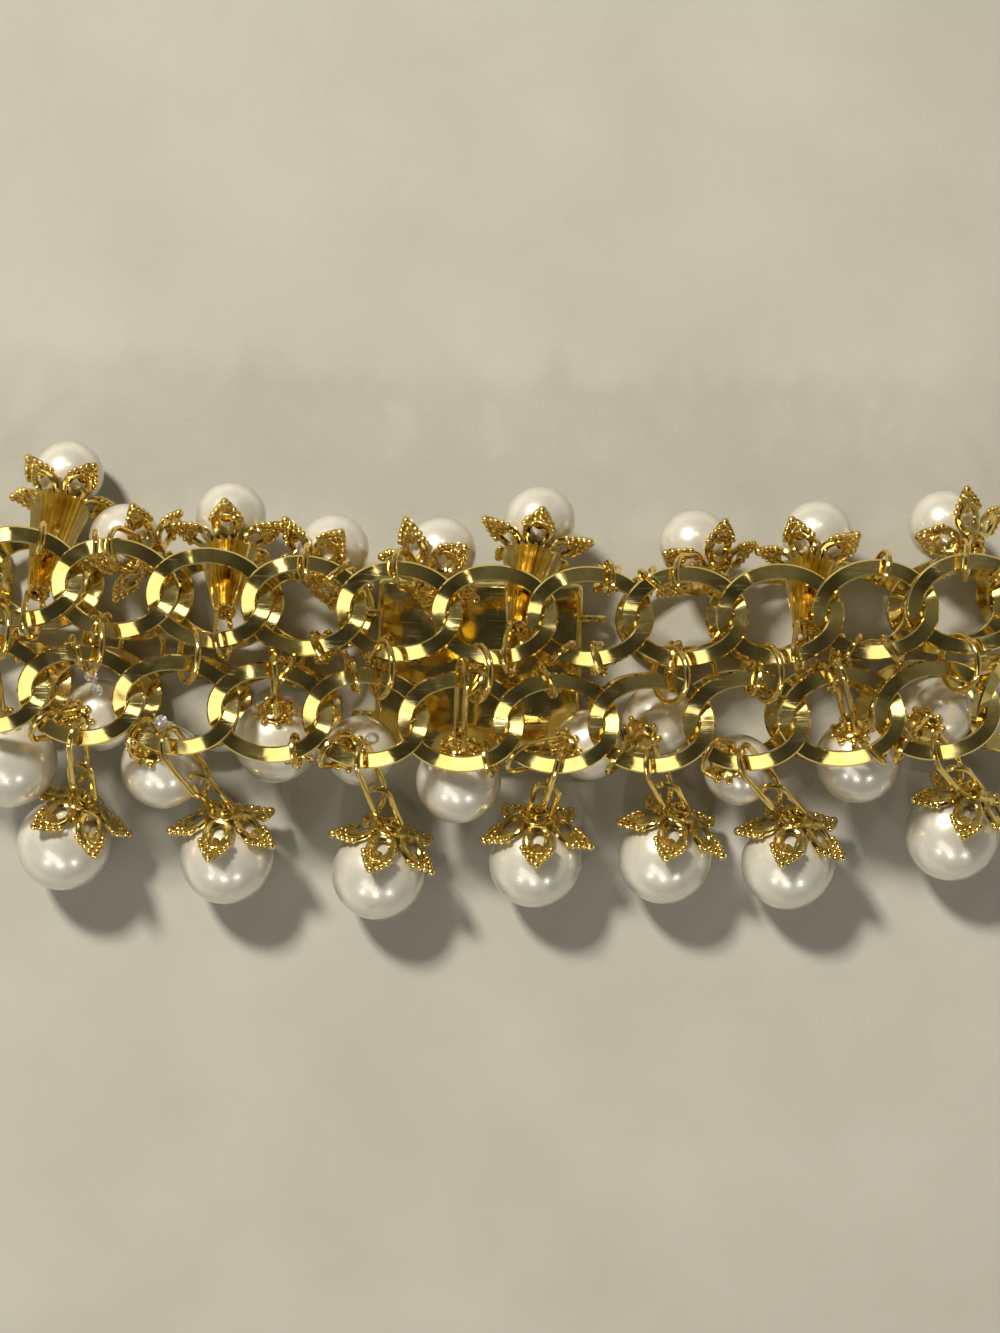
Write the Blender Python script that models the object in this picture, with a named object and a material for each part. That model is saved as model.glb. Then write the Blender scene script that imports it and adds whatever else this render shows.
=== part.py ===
"""Pearl bracelet: two rows of twisted oval links, joined by rings, with pearl drops.

The fastened loop lies flat: its upper run is straight above its lower run, the clasp
is in the middle of the lower run, and the links turn round at both ends. The drops
hang from the links' strips: large pearls in front, small ones behind, plain ones between.
"""

import math

import bmesh
import bpy
from mathutils import Matrix, Vector

MM = 0.001

# Links
LINK_LENGTH = 10.5 * MM
LINK_WIDTH = 8.3 * MM
STRIP_FACE = 1.45 * MM
STRIP_THICK = 0.85 * MM
TWIST = 0.66 * MM
HOOK = 0.20 * MM
BEND_PLAY = 0.06 * MM
LINK_SIDES = 10

# Loop
RUN_LINKS = 11
BEND_ANGLE = math.radians(45.0)
RUN_HEIGHT = 1.65 * MM
ROW_SPACING = 8.80 * MM
ROW_STAGGER = 2.50 * MM
BOW = math.radians(6.0)

# Rings between the rows
RING_WIRE = 0.28 * MM
RING_TILT = math.radians(30.0)
RING_BITE = 0.12 * MM
RING_ROOM = 0.8 * MM
RING_SIDES = 10
WIRE_SIDES = 5
RING_LINKS = (-5, -4, -3, -1, 0, 2, 3, 5)

# Clasp
CLASP_LINKS = 3
CLASP_WIDTH = 15.0 * MM
CLASP_BEVEL = 0.6 * MM
LUG_WALL = 0.40 * MM
LUG_WIDTH = 0.8 * MM

# Drops
CLEAR = 0.30 * MM
LOOP_RADIUS = 1.50 * MM
LOOP_WIRE = 0.24 * MM
LOOP_STEPS = 4
LARGE = 4.00 * MM
MEDIUM = 3.60 * MM
SMALL = 3.00 * MM
PETALS = 5
PETAL_REACH = 4.70 * MM
PETAL_WIDTH = 2.90 * MM
PETAL_THICK = 0.55 * MM
PETAL_WAIST = 0.52
PETAL_WRAP = 0.78
PETAL_FLARE = 0.35
HOLE_WIDTH = 1.50 * MM
HOLE_START = 1.45
HOLE_END = 0.78
HUB_RADIUS = 1.25 * MM
CONE_NECK = 0.75 * MM
CONE_RADIUS = 2.20 * MM
CONE_SIDES = 10

PITCH = LINK_LENGTH - 2 * STRIP_FACE + HOOK
UPPER_HEIGHT = RUN_HEIGHT + 2 * PITCH * math.sin(BEND_ANGLE)
CLASP_HEIGHT = 2 * RUN_HEIGHT
HALF_LINK = LINK_LENGTH / 2
HALF_WIDTH = LINK_WIDTH / 2
FLAT_END = math.cos(math.pi / LINK_SIDES)
MID_ALONG = HALF_LINK - STRIP_FACE / 2
MID_ACROSS = HALF_WIDTH - STRIP_FACE / 2

OUTER = math.radians(90.0)
INNER = math.radians(-72.0)
FAR = math.radians(126.0)

# Capped drops: name, row side, link, place on its strip, pearl size, the pearl's centre
# as shares of the pitch along and of the row spacing across and up, where its cap looks
# in the same shares, and the cap's turn
CAPPED = (
    ("front_1", -1, -4, OUTER, LARGE, (-4.47, -1.81, 0.47), (-4.15, -1.27, 0.76), 30.0),
    ("front_2", -1, -3, OUTER, LARGE, (-2.69, -1.90, 0.47), (-2.69, -1.35, 0.76), 12.0),
    ("front_3", -1, -1, OUTER, LARGE, (-1.03, -2.01, 0.47), (-0.84, -1.41, 0.76), 8.0),
    ("front_4", -1, 1, OUTER, LARGE, (0.68, -1.85, 0.47), (0.70, -1.33, 0.77), 0.0),
    ("front_5", -1, 2, OUTER, LARGE, (2.09, -1.78, 0.47), (2.24, -1.26, 0.76), 4.0),
    ("front_6", -1, 3, OUTER, LARGE, (3.44, -1.80, 0.47), (3.49, -1.29, 0.76), 14.0),
    ("front_7", -1, 5, OUTER, LARGE, (5.22, -1.48, 0.47), (5.40, -0.98, 0.76), 0.0),
    ("back_1", 1, -5, INNER, SMALL, (-4.55, 1.76, 0.40), (-4.80, 1.30, 0.64), 36.0),
    ("back_2", 1, -4, OUTER, SMALL, (-3.86, 1.14, 0.74), (-3.50, 0.92, 0.98), 36.0),
    ("back_3", 1, -3, INNER, SMALL, (-2.72, 1.38, 0.72), (-2.84, 1.10, 0.62), 0.0),
    ("back_4", 1, -2, OUTER, SMALL, (-1.60, 1.10, 0.74), (-1.80, 0.86, 0.98), 0.0),
    ("back_5", 1, -1, OUTER, SMALL, (-0.44, 1.10, 0.74), (-0.62, 0.86, 0.98), 20.0),
    ("back_6", 1, 0, INNER, SMALL, (0.62, 1.42, 0.74), (0.48, 1.10, 0.62), 0.0),
    ("back_7", 1, 2, OUTER, SMALL, (2.30, 1.24, 0.71), (2.44, 1.02, 0.87), 36.0),
    ("back_8", 1, 3, INNER, SMALL, (3.62, 1.36, 0.74), (3.48, 1.12, 0.62), 36.0),
    ("back_9", 1, 5, OUTER, SMALL, (5.01, 1.50, 0.62), (5.26, 1.28, 0.90), 36.0),
)

# Plain drops: name, link of the front row, place on its strip, pearl size and centre
PLAIN = (
    ("middle_1", -5, -OUTER, LARGE, (-5.02, -1.00, 0.82)),
    ("middle_2", -4, FAR, SMALL, (-4.06, -0.55, 0.79)),
    ("middle_3", -3, FAR, MEDIUM, (-3.36, -1.02, 0.80)),
    ("middle_4", -2, -OUTER, MEDIUM, (-2.15, -0.74, 0.80)),
    ("middle_5", -1, FAR, SMALL, (-1.24, -0.82, 0.80)),
    ("middle_6", 0, -OUTER, MEDIUM, (-0.18, -1.08, 0.80)),
    ("middle_7", 1, FAR, SMALL, (1.22, -0.70, 0.80)),
    ("middle_8", 2, FAR, SMALL, (1.94, -0.45, 0.80)),
    ("middle_9", 3, FAR, SMALL, (2.84, -0.90, 0.80)),
    ("middle_10", 4, -OUTER, MEDIUM, (4.12, -0.78, 0.80)),
    ("middle_11", 5, FAR, SMALL, (4.97, -0.30, 0.80)),
)


def clear_scene():
    for item in list(bpy.data.objects):
        bpy.data.objects.remove(item, do_unlink=True)


def material(name, colour, roughness, metallic):
    made = bpy.data.materials.new(name)
    made.use_nodes = True
    shader = made.node_tree.nodes["Principled BSDF"]
    shader.inputs["Base Color"].default_value = (*colour, 1.0)
    shader.inputs["Roughness"].default_value = roughness
    shader.inputs["Metallic"].default_value = metallic
    return made


def add_object(name, bm, finish):
    bmesh.ops.remove_doubles(bm, verts=bm.verts, dist=0.001 * MM)
    bmesh.ops.recalc_face_normals(bm, faces=bm.faces)
    mesh = bpy.data.meshes.new(name)
    bm.to_mesh(mesh)
    bm.free()
    mesh.shade_smooth()
    mesh.set_sharp_from_angle(angle=math.radians(40.0))
    mesh.materials.append(finish)
    item = bpy.data.objects.new(name, mesh)
    bpy.context.collection.objects.link(item)
    return item


def unite(item, others, solver="EXACT"):
    """Join each of the other objects to item, and delete them."""
    for other in others:
        join = item.modifiers.new("join", "BOOLEAN")
        join.operation = "UNION"
        join.solver = solver
        join.object = other
    bpy.context.view_layer.update()
    graph = bpy.context.evaluated_depsgraph_get()
    joined = bpy.data.meshes.new_from_object(item.evaluated_get(graph))
    item.modifiers.clear()
    item.data = joined
    for other in others:
        bpy.data.objects.remove(other, do_unlink=True)


def sweep(bm, rings):
    """Closed tube through closed rings of points, the last joined to the first."""
    loops = [[bm.verts.new(point) for point in ring] for ring in rings]
    for index, ring in enumerate(loops):
        after = loops[(index + 1) % len(loops)]
        for side in range(len(ring)):
            nxt = (side + 1) % len(ring)
            bm.faces.new((ring[side], ring[nxt], after[nxt], after[side]))


def frame_of(along, width, centre):
    """Matrix with local X along, Y across and Z out of the loop."""
    up = along.cross(width)
    turned = Matrix((along, width, up)).transposed().to_4x4()
    return Matrix.Translation(centre) @ turned


def row_frames(side):
    """Places of a row's links round the loop, as a list of (name, matrix)."""
    half = RUN_LINKS // 2
    shift = Vector((side * ROW_STAGGER / 2, side * ROW_SPACING / 2, 0.0))
    frames = []
    point = Vector((-PITCH / 2, 0.0, 0.0))
    right = {}
    for index in range(half + 1):
        yaw = BOW * index / half
        along = Vector((math.cos(yaw), math.sin(yaw), 0.0))
        right[index] = (point + along * PITCH / 2, yaw)
        point = point + along * PITCH
    for level, height in (("upper", UPPER_HEIGHT), ("lower", RUN_HEIGHT)):
        for index in range(-half, half + 1):
            middle, yaw = right[abs(index)]
            hand = 1.0 if index >= 0 else -1.0
            centre = Vector((hand * middle.x, middle.y, height)) + shift
            along = Vector((math.cos(yaw), hand * math.sin(yaw), 0.0))
            if level == "lower":
                along = -along
            width = Vector((-hand * math.sin(yaw), math.cos(yaw), 0.0))
            frames.append((level, index, frame_of(along, width, centre)))
    for hand in (1.0, -1.0):
        flat = Vector((math.cos(BOW), hand * math.sin(BOW), 0.0))
        width = Vector((-hand * math.sin(BOW), math.cos(BOW), 0.0))
        corner = Vector((hand * point.x, point.y, UPPER_HEIGHT)) + shift
        out = hand * flat * math.cos(BEND_ANGLE)
        down = Vector((0.0, 0.0, -math.sin(BEND_ANGLE)))
        for name, step in (("bend_upper", out + down), ("bend_lower", down - out)):
            centre = corner + step * PITCH / 2
            corner = corner + step * PITCH
            frames.append((name, int(hand), frame_of(step * hand, width, centre)))
    return frames


def add_link(bm, place):
    rings = []
    for step in range(LINK_SIDES):
        angle = 2 * math.pi * (step + 0.5) / LINK_SIDES
        height = -TWIST * math.sin(2 * angle)
        ring = []
        for inward, level in ((0, -1), (0, 1), (1, 1), (1, -1)):
            reach_x = (HALF_LINK - inward * STRIP_FACE) / FLAT_END
            reach_y = HALF_WIDTH - inward * STRIP_FACE
            ring.append(place @ Vector((
                reach_x * math.cos(angle),
                reach_y * math.sin(angle),
                height + level * STRIP_THICK / 2,
            )))
        rings.append(ring)
    sweep(bm, rings)


def wire_loop(bm, path, wire, normal):
    """Closed wire loop along points that lie in the plane with this normal."""
    rings = []
    middle = sum(path, Vector()) / len(path)
    for index, point in enumerate(path):
        before = path[index - 1]
        after = path[(index + 1) % len(path)]
        heading = (after - before).normalized()
        inward = heading.cross(normal).normalized()
        if inward.dot(middle - point) < 0:
            inward = -inward
        ring = []
        for side in range(WIRE_SIDES):
            angle = 2 * math.pi * side / WIRE_SIDES
            ring.append(point + wire * (inward * math.cos(angle) + normal * math.sin(angle)))
        rings.append(ring)
    sweep(bm, rings)


def ring_radius():
    reach = ROW_SPACING / 2 - HALF_WIDTH + STRIP_FACE
    return reach - RING_BITE + RING_ROOM / 2 + RING_WIRE


def add_row_ring(bm, place):
    """Ring between the rows, beside this link of the back row."""
    across = ROW_SPACING / 2 - HALF_WIDTH + STRIP_FACE - RING_BITE + RING_WIRE - ring_radius()
    along = place.to_3x3() @ Vector((1.0, 0.0, 0.0))
    width = place.to_3x3() @ Vector((0.0, 1.0, 0.0))
    up = place.to_3x3() @ Vector((0.0, 0.0, 1.0))
    middle = place.translation - along * ROW_STAGGER / 2 + width * (across - ROW_SPACING / 2)
    tilted = up * math.cos(RING_TILT) + along * math.sin(RING_TILT)
    radius = ring_radius()
    path = []
    for step in range(RING_SIDES):
        angle = 2 * math.pi * step / RING_SIDES
        path.append(middle + radius * (width * math.cos(angle) + tilted * math.sin(angle)))
    wire_loop(bm, path, RING_WIRE, width.cross(tilted))


def clasp_gap():
    return (CLASP_LINKS - 1) // 2


def build_row(name, side, finish):
    groups = (bmesh.new(), bmesh.new())
    rings = bmesh.new()
    frames = row_frames(side)
    for level, index, place in frames:
        if level == "lower" and abs(index) <= clasp_gap():
            continue
        turn = index if level in ("upper", "lower") else RUN_LINKS // 2 + 1
        low = level in ("lower", "bend_lower")
        if level == "bend_lower":
            place = place @ Matrix.Translation((0.0, BEND_PLAY, BEND_PLAY))
        add_link(groups[(turn + low) % 2], place)
        if side > 0 and level == "upper" and index in RING_LINKS:
            add_row_ring(rings, place)
    row = add_object(name, groups[0], finish)
    others = [add_object(name + "_odd", groups[1], finish)]
    if side > 0:
        others.append(add_object(name + "_rings", rings, finish))
    else:
        rings.free()
    # EXACT leaves slivers where the links' flat ends cross
    unite(row, others, solver="MANIFOLD")
    return frames


def add_box(bm, low, high):
    size = high - low
    centre = (high + low) / 2
    place = Matrix.Translation(centre) @ Matrix.Diagonal((*size, 1.0))
    return bmesh.ops.create_cube(bm, size=1.0, matrix=place)["verts"]


def build_clasp(rows, finish):
    end = clasp_gap() + 1
    face = PITCH * end - HALF_LINK
    half = face - CLEAR - ROW_STAGGER / 2
    bm = bmesh.new()
    low = Vector((-half, -CLASP_WIDTH / 2, 0.0))
    high = Vector((half, CLASP_WIDTH / 2, CLASP_HEIGHT))
    add_box(bm, low, high)
    bmesh.ops.bevel(bm, geom=bm.edges, offset=CLASP_BEVEL, segments=1, profile=0.5,
                    affect="EDGES", material=-1)
    clasp = add_object("clasp", bm, finish)
    room = STRIP_FACE / 2 + CLEAR
    rise = STRIP_THICK / 2 + CLEAR
    lugs = []
    for row in (-1, 1):
        for hand in (-1, 1):
            eye = next(place for level, index, place in rows[row]
                       if level == "lower" and index == hand * end)
            eye_x, eye_y, eye_z = eye @ Vector((hand * MID_ALONG, 0.0, 0.0))
            lug = bmesh.new()
            reach = sorted((hand * (half - LUG_WALL), eye_x + hand * (room + LUG_WALL)))
            low = Vector((reach[0], eye_y - LUG_WIDTH / 2, eye_z - rise - LUG_WALL))
            high = Vector((reach[1], eye_y + LUG_WIDTH / 2, eye_z + rise + LUG_WALL))
            add_box(lug, low, high)
            lugs.append(add_object("lug", lug, finish))
            hole = bmesh.new()
            low = Vector((eye_x - room, eye_y - LUG_WIDTH, eye_z - rise))
            high = Vector((eye_x + room, eye_y + LUG_WIDTH, eye_z + rise))
            add_box(hole, low, high)
            cutter = add_object("hole", hole, finish)
            cut = lugs[-1].modifiers.new("eye", "BOOLEAN")
            cut.operation = "DIFFERENCE"
            cut.solver = "EXACT"
            cut.object = cutter
            bpy.context.view_layer.update()
            graph = bpy.context.evaluated_depsgraph_get()
            lugs[-1].data = bpy.data.meshes.new_from_object(lugs[-1].evaluated_get(graph))
            lugs[-1].modifiers.clear()
            bpy.data.objects.remove(cutter, do_unlink=True)
    unite(clasp, lugs)


def build_pearl(name, centre, radius, finish):
    bm = bmesh.new()
    bmesh.ops.create_icosphere(bm, subdivisions=2, radius=radius,
                               matrix=Matrix.Translation(centre))
    return add_object(name, bm, finish)


def stadium(hub, anchor, radius, normal):
    """Points of a round-ended loop from the hub to round the anchor."""
    axis = (anchor - hub).normalized()
    across = normal.cross(axis).normalized()
    path = []
    for step in range(LOOP_STEPS + 1):
        angle = math.pi * (step / LOOP_STEPS - 0.5)
        path.append(anchor + radius * (axis * math.cos(angle) + across * math.sin(angle)))
    near = hub + axis * radius
    for step in range(LOOP_STEPS + 1):
        angle = math.pi * (step / LOOP_STEPS + 0.5)
        path.append(near + radius * (axis * math.cos(angle) + across * math.sin(angle)))
    return path


def add_cap(bm, hub, axis, spin, radius):
    """Pierced petals round a hub; axis points from the hub to the pearl."""
    side = (Vector((0.0, 0.0, 1.0)) - axis * axis.z).normalized()
    other = axis.cross(side)
    sag = radius + CLEAR

    def point(angle, reach, lift):
        over = min(reach, PETAL_WRAP * radius)
        fall = sag - math.sqrt(sag * sag - over * over) + PETAL_FLARE * (reach - over)
        spread = side * math.cos(angle) + other * math.sin(angle)
        return hub + spread * reach + axis * (fall - lift)

    rim = {}
    for level in (0, 1):
        lift = level * PETAL_THICK
        for petal in range(PETALS):
            middle = spin + 2 * math.pi * petal / PETALS
            root = math.pi / PETALS
            wide = (HUB_RADIUS + PETAL_REACH) * PETAL_WAIST
            half = math.atan2(PETAL_WIDTH / 2, wide)
            inner = math.atan2(HOLE_WIDTH / 2, wide)
            rim[level, petal] = (
                bm.verts.new(point(middle - root, HUB_RADIUS, lift)),
                bm.verts.new(point(middle - half, wide, lift)),
                bm.verts.new(point(middle, PETAL_REACH, lift)),
                bm.verts.new(point(middle + half, wide, lift)),
                bm.verts.new(point(middle, HUB_RADIUS * HOLE_START, lift)),
                bm.verts.new(point(middle - inner, wide, lift)),
                bm.verts.new(point(middle, PETAL_REACH * HOLE_END, lift)),
                bm.verts.new(point(middle + inner, wide, lift)),
            )
    for petal in range(PETALS):
        nxt = (petal + 1) % PETALS
        for level in (0, 1):
            a, b, c, d, e, f, g, h = rim[level, petal]
            z = rim[level, nxt][0]
            for face in ((a, b, f, e), (b, c, g, f), (c, d, h, g), (d, z, e, h), (a, e, z)):
                bm.faces.new(face)
        low = rim[0, petal]
        high = rim[1, petal]
        for i, j in ((0, 1), (1, 2), (2, 3), (4, 5), (5, 6), (6, 7), (7, 4)):
            bm.faces.new((low[i], low[j], high[j], high[i]))
        bm.faces.new((low[3], rim[0, nxt][0], rim[1, nxt][0], high[3]))
    for level in (0, 1):
        bm.faces.new([rim[level, petal][0] for petal in range(PETALS)])
    bmesh.ops.recalc_face_normals(bm, faces=bm.faces)


def shared_point(shares):
    along, across, up = shares
    return Vector((along * PITCH, across * ROW_SPACING, up * ROW_SPACING))


def anchor_of(frames, side, link, angle):
    """Middle of a link's strip at an angle round it, and the way the strip runs there."""
    angle = side * angle
    for level, index, place in frames:
        if level == "upper" and index == link:
            middle = Vector((MID_ALONG / FLAT_END * math.cos(angle), MID_ACROSS * math.sin(angle),
                             -TWIST * math.sin(2 * angle)))
            runs = Vector((-MID_ALONG * math.sin(angle), MID_ACROSS * math.cos(angle),
                           -2 * TWIST * math.cos(2 * angle)))
            return place @ middle, (place.to_3x3() @ runs).normalized()
    raise ValueError("no such link")


def build_loop(tip, anchor, runs, finish):
    reach = (anchor - tip).normalized()
    normal = (runs - reach * runs.dot(reach)).normalized()
    bm = bmesh.new()
    wire_loop(bm, stadium(tip, anchor, LOOP_RADIUS, normal), LOOP_WIRE, normal)
    return add_object("loop", bm, finish)


def build_cone(start, end, finish):
    """Cone that opens from the loop at its start to the cap at its end."""
    bm = bmesh.new()
    axis = (end - start).normalized()
    turn = Vector((0.0, 0.0, 1.0)).rotation_difference(axis).to_matrix().to_4x4()
    place = Matrix.Translation((start + end) / 2) @ turn
    bmesh.ops.create_cone(bm, cap_ends=True, segments=CONE_SIDES, radius1=CONE_NECK,
                          radius2=CONE_RADIUS, depth=(end - start).length, matrix=place)
    return add_object("cone", bm, finish)


def build_capped(rows, gold, pearl):
    for name, side, link, place, size, centre, top, turn in CAPPED:
        middle = shared_point(centre)
        anchor, runs = anchor_of(rows[side], side, link, place)
        aim = anchor if place == INNER else shared_point(top)
        axis = (middle - aim).normalized()
        build_pearl("pearl_" + name, middle, size, pearl)
        seat = middle - axis * (size + CLEAR)
        petals = bmesh.new()
        add_cap(petals, seat, axis, math.radians(turn), size)
        cap = add_object("cap_" + name, petals, gold)
        hub = seat - axis * PETAL_THICK
        if place == INNER:
            tip = anchor + axis * 2 * LOOP_RADIUS
            joined = [build_cone(tip - axis * LOOP_WIRE, hub + axis * PETAL_THICK * 0.6, gold)]
        else:
            tip = hub + axis * LOOP_WIRE
            joined = []
        joined.append(build_loop(tip, anchor, runs, gold))
        unite(cap, joined)


def build_plain(rows, pearl):
    for name, link, place, size, centre in PLAIN:
        middle = shared_point(centre)
        anchor, runs = anchor_of(rows[-1], 1, link, place)
        bead = build_pearl("pearl_" + name, middle, size, pearl)
        tip = middle + (anchor - middle).normalized() * (size - LOOP_WIRE)
        unite(bead, [build_loop(tip, anchor, runs, pearl)])


def main():
    clear_scene()
    gold = material("gold", (0.78, 0.56, 0.16), 0.16, 1.0)
    pearl = material("pearl", (0.88, 0.85, 0.76), 0.22, 0.0)
    rows = {}
    rows[1] = build_row("chain_row_back", 1, gold)
    rows[-1] = build_row("chain_row_front", -1, gold)
    build_clasp(rows, gold)
    build_capped(rows, gold, pearl)
    build_plain(rows, pearl)


main()
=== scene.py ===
import math
import random

import bmesh
import bpy
from mathutils import Matrix, Vector


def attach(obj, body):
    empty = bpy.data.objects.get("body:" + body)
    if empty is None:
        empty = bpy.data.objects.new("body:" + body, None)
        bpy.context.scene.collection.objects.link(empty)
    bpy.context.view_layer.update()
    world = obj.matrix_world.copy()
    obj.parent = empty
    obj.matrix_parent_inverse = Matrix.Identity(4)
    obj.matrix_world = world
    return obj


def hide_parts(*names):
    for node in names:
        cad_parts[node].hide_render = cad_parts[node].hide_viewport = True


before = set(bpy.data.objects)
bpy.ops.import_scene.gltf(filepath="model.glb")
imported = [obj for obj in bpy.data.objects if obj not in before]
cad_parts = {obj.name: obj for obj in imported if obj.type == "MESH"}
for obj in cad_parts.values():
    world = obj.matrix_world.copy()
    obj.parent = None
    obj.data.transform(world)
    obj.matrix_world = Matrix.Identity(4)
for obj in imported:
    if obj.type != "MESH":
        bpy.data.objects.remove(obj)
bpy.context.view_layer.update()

mm = 0.001
tiny = 0.01 * mm
dice = random.Random(7)


# Meshes

def unitMesh(name, bm):
    bmesh.ops.remove_doubles(bm, verts=bm.verts, dist=0.0005 * mm)
    bmesh.ops.recalc_face_normals(bm, faces=bm.faces)
    mesh = bpy.data.meshes.new(name)
    bm.to_mesh(mesh)
    bm.free()
    return mesh


def stamp(bm, unit, place):
    before = len(bm.verts)
    bm.from_mesh(unit)
    bm.verts.ensure_lookup_table()
    added = bm.verts[before:]
    bmesh.ops.transform(bm, matrix=place, verts=added)
    return added


def makePiece(name, bm, finish, nodes=(), crease=35.0):
    mesh = unitMesh(name, bm)
    mesh.shade_smooth()
    mesh.set_sharp_from_angle(angle=math.radians(crease))
    mesh.materials.append(finish)
    piece = bpy.data.objects.new(name, mesh)
    bpy.context.collection.objects.link(piece)
    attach(piece, "root")
    if nodes:
        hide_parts(*nodes)


def spinProfile(bm, edges, steps):
    bmesh.ops.spin(bm, geom=edges, cent=(0, 0, 0), axis=(0, 0, 1), dvec=(0, 0, 0),
                   angle=2 * math.pi, steps=steps, use_merge=True, use_duplicate=False)


def ringUnit(name, radius, wire, steps=36, section=10):
    bm = bmesh.new()
    upright = Matrix.Translation((radius, 0, 0)) @ Matrix.Rotation(math.pi / 2, 4, "X")
    bmesh.ops.create_circle(bm, segments=section, radius=wire, matrix=upright)
    spinProfile(bm, bm.verts[:] + bm.edges[:], steps)
    return unitMesh(name, bm)


def ballUnit(name, radius, around=14, rings=8):
    bm = bmesh.new()
    bmesh.ops.create_uvsphere(bm, u_segments=around, v_segments=rings, radius=radius)
    return unitMesh(name, bm)


def frameOf(along, width, centre):
    up = along.cross(width)
    turned = Matrix((along, width, up)).transposed().to_4x4()
    return Matrix.Translation(centre) @ turned


def facing(axis, origin):
    # Local Z along the axis
    turn = Vector((0, 0, 1)).rotation_difference(axis).to_matrix().to_4x4()
    return Matrix.Translation(origin) @ turn


# Node trees

def addNode(tree, kind, inputs=None, **settings):
    node = tree.nodes.new(kind)
    for key, value in settings.items():
        setattr(node, key, value)
    for key, value in (inputs or {}).items():
        if isinstance(value, bpy.types.NodeSocket):
            tree.links.new(value, node.inputs[key])
        else:
            node.inputs[key].default_value = value
    return node


def addMath(tree, operation, first, second):
    return addNode(tree, "ShaderNodeMath", {0: first, 1: second}, operation=operation).outputs[0]


def addRamp(tree, value, low, high, lowTo=0.0, highTo=1.0):
    return addNode(tree, "ShaderNodeMapRange", {
        "Value": value, "From Min": low, "From Max": high,
        "To Min": lowTo, "To Max": highTo,
    }).outputs["Result"]


def addMix(tree, factor, first, second):
    node = addNode(tree, "ShaderNodeMix", data_type="RGBA")
    for index, value in ((0, factor), (6, first), (7, second)):
        if isinstance(value, bpy.types.NodeSocket):
            tree.links.new(value, node.inputs[index])
        else:
            node.inputs[index].default_value = value
    return node.outputs[2]


def addNoise(tree, where, scale, detail=3.0, stretch=None):
    if stretch:
        where = addNode(tree, "ShaderNodeMapping", {"Vector": where, "Rotation": stretch[0],
                                                    "Scale": stretch[1]}).outputs[0]
    return addNode(tree, "ShaderNodeTexNoise", {"Vector": where, "Scale": scale,
                                                "Detail": detail}).outputs["Fac"]


def makeGroup(name, inputs, outputs):
    group = bpy.data.node_groups.new(name, "ShaderNodeTree")
    for label, kind, value in inputs:
        socket = group.interface.new_socket(name=label, in_out="INPUT", socket_type=kind)
        if value is not None:
            socket.default_value = value
    for label, kind in outputs:
        group.interface.new_socket(name=label, in_out="OUTPUT", socket_type=kind)
    return group, group.nodes.new("NodeGroupInput"), group.nodes.new("NodeGroupOutput")


def makeMaterial(name):
    made = bpy.data.materials.new(name)
    made.use_nodes = True
    tree = made.node_tree
    where = addNode(tree, "ShaderNodeTexCoord").outputs["Object"]
    return made, tree, tree.nodes["Principled BSDF"], where


def useGroup(tree, group, inputs):
    return addNode(tree, "ShaderNodeGroup", inputs, node_tree=group)


def setInputs(tree, shader, inputs):
    for key, value in inputs.items():
        if isinstance(value, bpy.types.NodeSocket):
            tree.links.new(value, shader.inputs[key])
        else:
            shader.inputs[key].default_value = value


# Fine scratches in three directions, soft plating ripples and faint cloudiness
def polishGroup():
    group, given, result = makeGroup("polishWear", [
        ("Coordinates", "NodeSocketVector", None),
        ("Scratches", "NodeSocketFloat", 0.5),
        ("Ripple", "NodeSocketFloat", 0.3),
    ], [("Scratch Mask", "NodeSocketFloat"), ("Cloud", "NodeSocketFloat"),
        ("Normal", "NodeSocketVector")])
    where = given.outputs["Coordinates"]
    lines = None
    for turn in (0.5, 1.7, 2.7):
        streak = addNoise(group, where, 1.0, 2.0, ((0, 0, turn), (220, 9000, 700)))
        thin = addRamp(group, streak, 0.64, 0.70)
        lines = thin if lines is None else addMath(group, "MAXIMUM", lines, thin)
    patches = addRamp(group, addNoise(group, where, 260.0, 2.0), 0.42, 0.62)
    lines = addMath(group, "MULTIPLY", addMath(group, "MULTIPLY", lines, patches),
                    given.outputs["Scratches"])
    cloud = addNoise(group, where, 900.0, 4.0)
    ripple = addMath(group, "MULTIPLY", addNoise(group, where, 620.0, 1.0), given.outputs["Ripple"])
    height = addMath(group, "SUBTRACT", ripple, addMath(group, "MULTIPLY", lines, 0.05))
    bump = addNode(group, "ShaderNodeBump", {"Strength": 0.25, "Distance": 0.0001,
                                             "Height": height})
    group.links.new(lines, result.inputs["Scratch Mask"])
    group.links.new(cloud, result.inputs["Cloud"])
    group.links.new(bump.outputs["Normal"], result.inputs["Normal"])
    return group


polish = polishGroup()


def goldMaterial(name, look):
    made, tree, shader, where = makeMaterial(name)
    wear = useGroup(tree, polish, {"Coordinates": where, "Scratches": look["scratches"],
                                   "Ripple": look["ripple"]})
    tone = addRamp(tree, wear.outputs["Cloud"], 0.35, 0.65)
    colour = addMix(tree, tone, look["deep"], look["bright"])
    colour = addMix(tree, wear.outputs["Scratch Mask"], colour, look["scratch"])
    rough = addRamp(tree, wear.outputs["Cloud"], 0.3, 0.7, look["smooth"], look["rough"])
    rough = addMath(tree, "ADD", rough, addMath(tree, "MULTIPLY", wear.outputs["Scratch Mask"], 0.2))
    setInputs(tree, shader, {"Base Color": colour, "Metallic": 1.0, "Roughness": rough,
                             "Normal": wear.outputs["Normal"]})
    return made


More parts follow.
